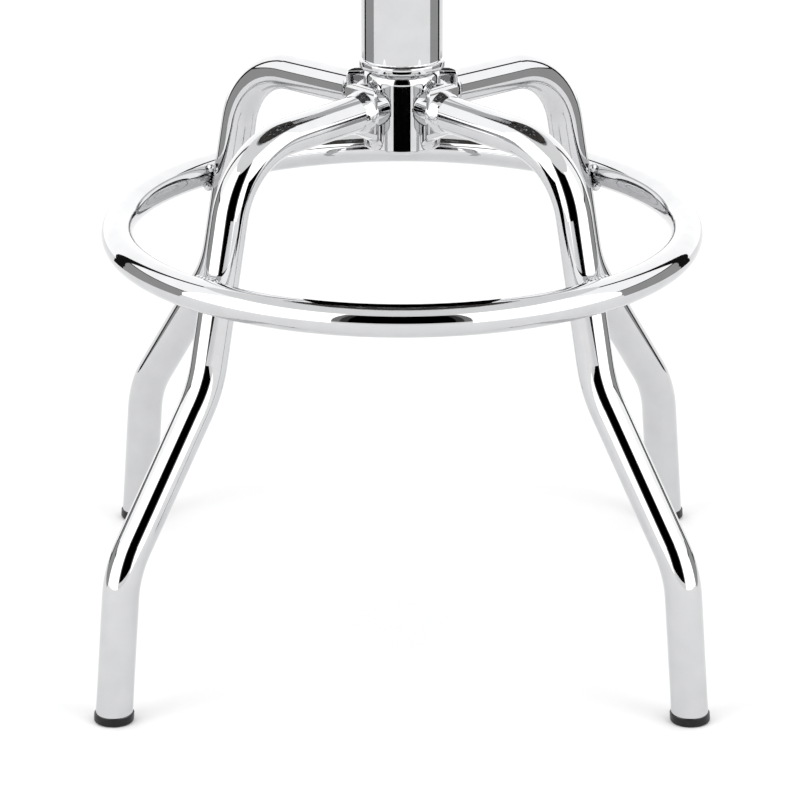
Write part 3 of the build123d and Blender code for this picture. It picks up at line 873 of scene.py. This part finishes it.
@dataclass
class Seat(DressedNodes):
    """The seat: band, board and fasteners from the CAD, and its upholstery built here.

    The sizes that start at zero are read from the frame.
    """

    groups: Groups = (
        (Plate.DRAWN_TUBE, ("seat_band",)),
        (Trim.PLYWOOD, ("seat_board",)),
        (Trim.ZINC, ("seat_tee_nuts", "seat_band_screws")),
    )
    body: str = "seat"
    crown_top: float = 0.0
    cover_bottom: float = 0.0
    cover_radius: float = 0.0
    seam: float = 0.0
    welt_reach: float = 0.0
    board_radius: float = 0.0
    board_bottom: float = 0.0
    board_top: float = 0.0
    band_top: float = 0.0
    cover_thickness: float = 0.0015
    round_steps: int = 192
    start_inset: float = 0.004
    crown: float = 0.012
    crown_bow_share: float = 0.45
    crown_steps: int = 18
    roll_width: float = 0.017
    roll_bow_share: float = 0.28
    side_bulge: float = 0.005
    side_steps: int = 6
    swell_limit: float = 0.0045
    voxel: float = 0.005
    cloth_settings: tuple[tuple[str, Any], ...] = (
        ("quality", 6), ("mass", 0.25), ("tension_stiffness", 18.0),
        ("compression_stiffness", 12.0), ("bending_stiffness", 2.5), ("use_pressure", True),
        ("uniform_pressure_force", 4.0),
    )
    last_frame: int = 20
    smooth_rounds: int = 4
    pin_reach: float = 0.004
    pin_reach_share: float = 0.96
    pucker_depth: float = 0.00045
    pucker_count: int = 52
    pucker_reach: float = 0.02
    pucker_drift: float = 9.0
    pucker_least: float = 0.7
    pucker_lift: float = 0.6
    pucker_sink: float = 0.5
    drift_scale: float = 5.0
    lip_width: float = 0.022
    lip_fold_share: float = 0.55
    lip_ruffle: float = 0.006
    lip_ruffle_scale: float = 6.0
    fold_phase: float = 0.6
    fold_power: int = 3
    corner_bow_share: float = 0.55
    corner_steps: int = 4
    welt_radius: float = 0.003
    welt_share: float = 0.965
    welt_uneven_share: float = 0.03
    welt_drift: float = 0.0002
    welt_noise_scale: float = 16.0
    welt_sides: int = 14
    staple_count: int = 44
    staple_reach_share: float = 0.72
    staple_width: float = 0.0095
    staple_wire: float = 0.00035
    staple_crown: float = 1.6
    staple_lean: float = math.radians(9.0)
    lean_step: float = 1.7
    lean_row: float = 0.3

    def measure(self) -> None:
        """Reads the upholstery's sizes from the frame."""
        cover_low, cover_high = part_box("seat_cover")
        welt_low, welt_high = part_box("seat_welt")
        board_low, board_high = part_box("seat_board")
        self.crown_top = cover_high.z
        self.cover_bottom = cover_low.z
        self.seam = (welt_low.z + welt_high.z) / 2
        self.welt_reach = welt_high.x - self.welt_radius
        self.board_radius = board_high.x
        self.board_bottom = board_low.z
        self.board_top = board_high.z
        self.cover_radius = self.board_radius + self.cover_thickness
        self.band_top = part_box("seat_band")[1].z

    def _section(self) -> list[Point]:
        """Half section of the cushion before it swells.

        Returns:
            Its points from the middle below to the crown.
        """
        inset = self.start_inset / 2
        radius = self.cover_radius - inset
        roll_end = (radius - self.roll_width, self.crown_top - self.crown - inset)
        crown = (0.0, self.crown_top - self.start_inset)
        low, seam = (radius, self.band_top), (radius, self.seam)
        side = arc(low, seam, self.side_bulge / 2, self.side_steps)
        roll = arc(seam, roll_end, self.roll_width * self.roll_bow_share, self.side_steps)
        top = arc(roll_end, crown, self.crown * self.crown_bow_share, self.crown_steps)
        floor = [(reach, self.board_top) for reach in (0.0, radius / 2, radius)]
        return [*floor, *side, *roll, *top, crown]

    def make_cushion(self) -> Piece:
        """The stuffed top and side of the cover, swollen by a cloth simulation.

        Returns:
            The cushion.
        """
        piece = mesh_piece("seat_cushion", turned(self._section(), self.round_steps, False))
        self._swell(piece)
        self._pucker(piece)
        return piece

    def _held(self, point: Vector) -> bool:
        """Whether seam, band or board hold the cover.

        Args:
            point: A point of the cushion.

        Returns:
            True where they do.
        """
        outside = point.xy.length > self.cover_radius * self.pin_reach_share
        at_seam = outside and abs(point.z - self.seam) < self.pin_reach
        return at_seam or point.z < self.band_top + self.pin_reach

    def _swell(self, piece: Piece) -> None:
        """Runs the cloth simulation and keeps its result.

        Args:
            piece: The cushion, whose mesh is exchanged.
        """
        remesh = piece.modifiers.new("even", "REMESH")
        remesh.mode = "VOXEL"
        remesh.voxel_size = self.voxel
        self._apply(piece)
        rest = [vertex.co.copy() for vertex in piece.data.vertices]
        pins = piece.vertex_groups.new(name="held")
        pins.add([index for index, point in enumerate(rest) if self._held(point)], 1.0, "REPLACE")
        cloth = piece.modifiers.new("cloth", "CLOTH")
        for key, value in self.cloth_settings:
            setattr(cloth.settings, key, value)
        cloth.settings.vertex_group_mass = pins.name
        cloth.settings.effector_weights.gravity = 0.0
        cloth.point_cache.frame_start = 1
        cloth.point_cache.frame_end = self.last_frame
        for step in range(1, self.last_frame + 1):
            bpy.context.scene.frame_set(step)
        self._apply(piece)
        bpy.context.scene.frame_set(1)
        for vertex, point in zip(piece.data.vertices, rest):
            moved = vertex.co - point
            if moved.length > self.swell_limit:
                vertex.co = point + moved.normalized() * self.swell_limit
        smooth = piece.modifiers.new("smooth", "CORRECTIVE_SMOOTH")
        smooth.use_only_smooth = True
        smooth.iterations = self.smooth_rounds
        piece.modifiers.new("finer", "SUBSURF").levels = 1
        self._apply(piece)
        piece.data.shade_smooth()

    @staticmethod
    def _apply(piece: Piece) -> None:
        """Keeps the result of a piece's modifiers and removes them.

        Args:
            piece: The piece.
        """
        graph = bpy.context.evaluated_depsgraph_get()
        result = bpy.data.meshes.new_from_object(piece.evaluated_get(graph), depsgraph=graph)
        piece.modifiers.clear()
        piece.data = result

    def _pucker(self, piece: Piece) -> None:
        """Draws small radial puckers into the cover beside the welt.

        Args:
            piece: The cushion.
        """
        for vertex in piece.data.vertices:
            point = vertex.co
            across = math.hypot(point.z - self.seam, point.xy.length - self.cover_radius)
            if across > self.pucker_reach or point.z < self.band_top:
                continue
            angle = math.atan2(point.y, point.x)
            round_place = Vector((math.cos(angle), math.sin(angle), 0.0))
            drift = noise.noise(round_place * self.drift_scale)
            wave = math.sin(angle * self.pucker_count + drift * self.pucker_drift)
            wave *= self.pucker_least + drift
            fade = math.sin(math.pi * across / self.pucker_reach)
            outward = (round_place + Vector((0.0, 0.0, self.pucker_lift))).normalized()
            vertex.co = point + outward * (wave * fade - self.pucker_sink) * self.pucker_depth

    def make_turn_under(self) -> Piece:
        """The cover's lower edge: down behind the band, round the board and stapled under it.

        Returns:
            The turned-under edge.
        """
        outer, inner = self.cover_radius, self.board_radius
        low, high = self.cover_bottom, self.board_bottom
        lip = inner - self.lip_width
        middle, corner = inner - self.lip_width / 2, self.cover_thickness
        turn = (outer, low + 2 * corner), (outer - 2 * corner, low)
        outline = [
            (outer, self.band_top), *arc(*turn, corner * self.corner_bow_share, self.corner_steps),
            turn[1], (middle, low), (lip, low), (lip, high), (middle, high),
            (inner - corner, high), (inner, high + corner), (inner, self.band_top),
        ]
        shape = turned(outline, self.round_steps * 2, True)
        for vertex in shape.verts:
            reach = vertex.co.xy.length
            if reach < inner - self.lip_width * self.lip_fold_share and vertex.co.z < high:
                angle = math.atan2(vertex.co.y, vertex.co.x)
                fold = max(0.0, math.sin(angle * self.staple_count + self.fold_phase))
                vertex.co.z -= fold**self.fold_power * self.cover_thickness / 3
                ruffle = noise.noise(Vector((angle * self.lip_ruffle_scale, 0.0, 0.0)))
                vertex.co.xy *= 1.0 + self.lip_ruffle * ruffle
        return mesh_piece("seat_cover_turn_under", shape)

    def make_welt(self) -> Piece:
        """The piping in the seam, drawn slightly uneven by its stitches.

        Returns:
            The welt.
        """
        steps = self.round_steps * 2
        shape = bmesh.new()
        rows = []
        for step in range(steps):
            angle = math.tau * step / steps
            place = Vector((math.cos(angle), math.sin(angle), 1.0))
            uneven = noise.noise(place * self.welt_noise_scale)
            radius = self.welt_radius * (self.welt_share + self.welt_uneven_share * uneven)
            row = []
            for turn in range(self.welt_sides):
                tilt = math.tau * turn / self.welt_sides
                reach = self.welt_reach + radius * math.cos(tilt)
                height = self.seam + radius * math.sin(tilt) + self.welt_drift * uneven
                row.append(shape.verts.new((reach * place.x, reach * place.y, height)))
            rows.append(row)
        bridge(shape, rows, True, True)
        return mesh_piece("seat_welt_piping", shape)

    def make_staples(self) -> Piece:
        """The ring of staples that hold the cover under the board.

        Returns:
            All staples as one mesh.
        """
        shape = bmesh.new()
        reach = self.board_radius - self.lip_width * self.staple_reach_share
        for index in range(self.staple_count):
            angle = math.tau * (index + 0.5) / self.staple_count
            row = Vector((index * self.lean_step, self.lean_row, 0.0))
            lean = Matrix.Rotation(self.staple_lean * noise.noise(row), 4, "Z")
            place = Matrix.Translation((reach, 0.0, self.cover_bottom))
            self._add_staple(shape, Matrix.Rotation(angle, 4, "Z") @ place @ lean)
        return mesh_piece("seat_staples", shape)

    def _add_staple(self, shape: Shape, place: Matrix) -> None:
        """Adds one staple: a flattened wire with rounded corners.

        Args:
            shape: The mesh that it joins.
            place: Its place, with local Y along the staple.
        """
        half, wire = self.staple_width / 2, self.staple_wire
        line = [(half, 0.0), (half, -wire), (half - 2 * wire, -self.staple_crown * wire)]
        line = [(-along, height) for along, height in line] + line[::-1]
        corners = ((-2, 0.5), (2, 0.5), (2, -0.5), (-2, -0.5))
        rows = []
        for along, height in line:
            ring = (Vector((wire * dx, along, height + wire * dz)) for dx, dz in corners)
            rows.append([shape.verts.new(place @ point) for point in ring])
        bridge(shape, rows, True, False)
        shape.faces.new(rows[0])
        shape.faces.new(rows[-1])

    def build(self, rack: FinishRack) -> None:
        """Builds and dresses the upholstery, and finishes the seat's CAD nodes.

        Args:
            rack: The finishes.
        """
        self.measure()
        self.dress(rack)
        cushion = self.make_cushion()
        turn_under = self.make_turn_under()
        welt = self.make_welt()
        staples = self.make_staples()
        for piece in (cushion, turn_under, welt):
            rack.mount(piece, Trim.VINYL, self.body)
        rack.mount(staples, Trim.ZINC, self.body)
        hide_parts("seat_foam", "seat_cover")
        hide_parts("seat_welt")


# Studio
@dataclass(frozen=True)
class TentPanel:
    """One panel of the tent round the stool, which only its reflections show.

    The angles are in degrees from the front towards either side, and both sides get one. A
    panel with floor_from also covers the floor from that distance outwards.
    """

    name: str
    inner: float
    outer: float
    level: float
    low: float = 0.001
    high: float = 3.4
    floor_from: float = 0.0


@dataclass
class Studio:
    """Pale floor, soft light, and a tent of pale and black panels for the chrome."""

    floor_radius: float = 9.0
    floor_drop: float = 0.0002
    floor_steps: int = 96
    floor_finish: Finish = Finish(
        name="pale_floor", tint=(0.93, 0.93, 0.935), mottle_tint=(0.9207, 0.9207, 0.92565),
        mottle=(6.0, 3.0), edges=(0.0, 1.0), mottle_share=0.3, roughness=(0.6, 0.0),
        relief=(0.0, 0.0), gloss=0.0,
    )
    sky: float = 1.04
    lamp_reach: Triple = (2.2, -1.6, 2.4)
    lamp_aim: Triple = (0.0, 0.0, 0.4)
    lamp_size: float = 1.6
    lamp_watts: float = 22.0
    tent_radius: float = 2.6
    panel_step: float = 3.0
    front_card: tuple[Triple, ...] = (
        (-0.066, -0.15, 0.296), (0.066, -0.15, 0.296), (0.066, -0.15, 0.366),
        (-0.066, -0.15, 0.366),
    )
    card_height: float = 0.001
    panels: tuple[TentPanel, ...] = (
        TentPanel("front_gap", 0.0, 19.0, 0.0, 0.22, 3.0),
        TentPanel("front_gap_edge", 19.0, 22.0, 0.05, 0.22, 3.0),
        TentPanel("front_gap_rim", 22.0, 25.0, 0.25, 0.22, 3.0),
        TentPanel("side_light", 25.0, 86.0, 2.2),
        TentPanel("front_floor", 0.0, 80.0, 1.2, 0.001, 0.02, floor_from=1.19),
        TentPanel("side_seam", 86.0, 90.0, 0.02, 0.001, 0.02, floor_from=1.0),
        TentPanel("side_wall", 86.0, 122.0, 0.42, 0.02, 0.85, floor_from=1.0),
        TentPanel("side_trim", 84.0, 122.0, 0.03, 0.85, 0.97),
        TentPanel("side_top", 84.0, 122.0, 1.5, 0.97, 3.4),
        TentPanel("rear_seam", 122.0, 131.0, 0.01, floor_from=1.0),
        TentPanel("rear_wall", 131.0, 180.0, 1.5),
    )

    def _hang(self, card: Piece, level: float) -> None:
        """Makes a card shine by itself and hides it from everything but reflections.

        Args:
            card: The card.
            level: How bright it is.
        """
        glow = ShaderBench(card.name).dress(
            Base_Color=rgba(0.0, 0.0, 0.0),
            Roughness=1.0,
            Specular_IOR_Level=0.0,
            Emission_Color=rgba(1.0, 1.0, 1.0),
            Emission_Strength=level,
        )
        card.data.materials.append(glow)
        for ray in ("camera", "diffuse", "transmission", "volume_scatter", "shadow"):
            setattr(card, f"visible_{ray}", False)

    def _add_panel(self, panel: TentPanel, side: int) -> None:
        """Adds one curved panel.

        Args:
            panel: Its angles, height and brightness.
            side: 1 to the right of the front, -1 to the left.
        """
        steps = max(2, round((panel.outer - panel.inner) / self.panel_step))
        shape = bmesh.new()
        rows = []
        for step in range(steps + 1):
            angle = math.radians(panel.inner + (panel.outer - panel.inner) * step / steps) * side
            line = [(self.tent_radius, panel.low), (self.tent_radius, panel.high)]
            if panel.floor_from:
                line.insert(0, (panel.floor_from, min(panel.low / 2, self.card_height)))
            ring = ((reach * math.sin(angle), -reach * math.cos(angle), z) for reach, z in line)
            rows.append([shape.verts.new(point) for point in ring])
        bridge(shape, rows, False, False)
        name = f"tent_{panel.name}_{'right' if side > 0 else 'left'}"
        self._hang(mesh_piece(name, shape), panel.level)

    def _add_front_card(self) -> None:
        """Adds the small black card in front, which the hub reflects."""
        shape = bmesh.new()
        shape.faces.new([shape.verts.new(corner) for corner in self.front_card])
        self._hang(mesh_piece("front_card", shape), 0.0)

    def _add_floor(self) -> None:
        """Adds the plain pale floor, a hair below the foot caps."""
        outline = [(reach, -self.floor_drop) for reach in (0.0, self.floor_radius)]
        floor = mesh_piece("floor", turned(outline, self.floor_steps, False))
        floor.data.materials.append(self.floor_finish.material())

    def _add_lamp(self, name: str, side: int) -> None:
        """Adds one soft lamp that points at the stool.

        Args:
            name: The lamp's name.
            side: 1 to the right of the front, -1 to the left.
        """
        light = bpy.data.lights.new(name, "AREA")
        light.size = self.lamp_size
        light.energy = self.lamp_watts
        lamp = linked(name, light)
        across, depth, height = self.lamp_reach
        lamp.location = (across * side, depth, height)
        aim = Vector(self.lamp_aim) - lamp.location
        lamp.rotation_euler = aim.to_track_quat("-Z", "Y").to_euler()
        lamp.visible_glossy = False

    def build(self) -> None:
        """Builds the floor, the light and the tent."""
        world = bpy.data.worlds.new("studio")
        world.use_nodes = True
        background = world.node_tree.nodes["Background"]
        background.inputs["Color"].default_value = rgba(1.0, 1.0, 1.0)
        background.inputs["Strength"].default_value = self.sky
        bpy.context.scene.world = world
        bpy.context.scene.view_settings.view_transform = "Standard"
        self._add_floor()
        for panel in self.panels:
            for side in (1, -1):
                self._add_panel(panel, side)
        self._add_front_card()
        self._add_lamp("key_left", -1)
        self._add_lamp("key_right", 1)
        log.info("built the studio with %d tent panels", 2 * len(self.panels))


@dataclass
class PhotoCamera:
    """The camera, at the photograph's place and angle, fitted to the legs and the ring."""

    elevation: float = math.radians(19.59)
    distance: float = 3.927
    aim_height: float = 0.1618
    focal_pixels: float = 5570.0
    picture_pixels: float = 800.0
    axis_pixel: float = 402.0
    sensor: float = 36.0
    view_depth: float = 60.0

    def build(self) -> None:
        """Creates the camera and makes it the scene's own."""
        camera = linked("photo_camera", bpy.data.cameras.new("photo_camera"))
        camera.data.sensor_width = self.sensor
        camera.data.lens = self.focal_pixels * self.sensor / self.picture_pixels
        camera.data.shift_x = (self.picture_pixels / 2 - self.axis_pixel) / self.picture_pixels
        camera.data.clip_end = self.view_depth
        away = self.distance * math.cos(self.elevation)
        camera.location = (0.0, -away, self.aim_height + self.distance * math.sin(self.elevation))
        camera.rotation_euler = (math.pi / 2 - self.elevation, 0.0, 0.0)
        bpy.context.scene.camera = camera


def main() -> None:
    """Builds the stool's looks and its studio."""
    logging.basicConfig(level=logging.INFO, format="%(name)s: %(message)s")
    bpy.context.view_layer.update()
    rack = FinishRack()
    PhotoCamera().build()
    Base().dress(rack)
    HubCasting().build(rack)
    ColumnFoot().build(rack)
    Swivel().dress(rack)
    Seat().build(rack)
    Studio().build()


if __name__ == "__main__":
    main()
